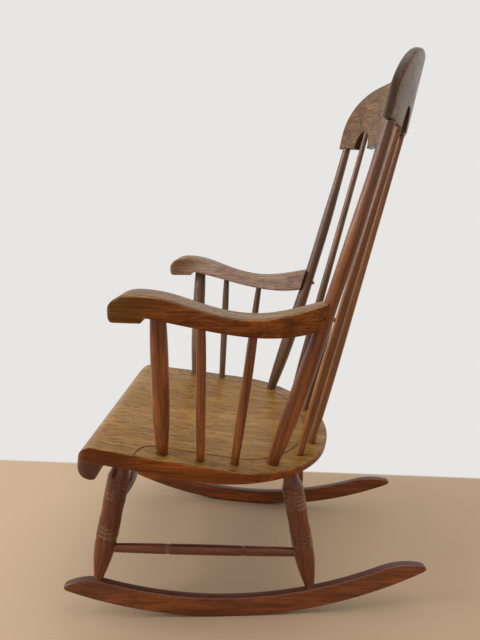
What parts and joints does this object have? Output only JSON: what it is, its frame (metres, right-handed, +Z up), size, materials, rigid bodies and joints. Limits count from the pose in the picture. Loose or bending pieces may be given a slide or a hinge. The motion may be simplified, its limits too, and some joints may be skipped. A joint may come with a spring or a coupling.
{
  "type": "rocking chair",
  "caption": "High-backed wooden rocking chair with scrolled arms, turned legs, slim back spindles and a curved crest rail.",
  "frame": {"origin": "on the floor, in the middle of the overall width and length", "axes": "+Z up, -Y the way the sitter faces, +X to the sitter's left"},
  "size_m": [0.6582, 0.718, 1.0708],
  "materials": {
    "seat_wood": "semi-gloss stained, worn",
    "frame_wood": "semi-gloss stained"
  },
  "bodies": {
    "root": {"seat_plank": "seat_wood", "front_roll": "frame_wood", "rocker_left": "frame_wood", "leg_front_left": "frame_wood", "leg_rear_left": "frame_wood", "stretcher_left": "frame_wood", "arm_left": "frame_wood", "arm_post_left": "frame_wood", "arm_spindle_front_left": "frame_wood", "arm_spindle_rear_left": "frame_wood", "back_post_left": "frame_wood", "arm_peg_left": "frame_wood", "rocker_right": "frame_wood", "leg_front_right": "frame_wood", "leg_rear_right": "frame_wood", "stretcher_right": "frame_wood", "front_stretcher": "frame_wood", "arm_right": "frame_wood", "arm_post_right": "frame_wood", "arm_spindle_front_right": "frame_wood", "arm_spindle_rear_right": "frame_wood", "back_post_right": "frame_wood", "arm_peg_right": "frame_wood", "back_spindle_1": "frame_wood", "back_spindle_2": "frame_wood", "back_spindle_3": "frame_wood", "back_spindle_4": "frame_wood", "back_spindle_5": "frame_wood", "back_spindle_6": "frame_wood", "crest_rail": "frame_wood"}
  },
  "joints": []
}
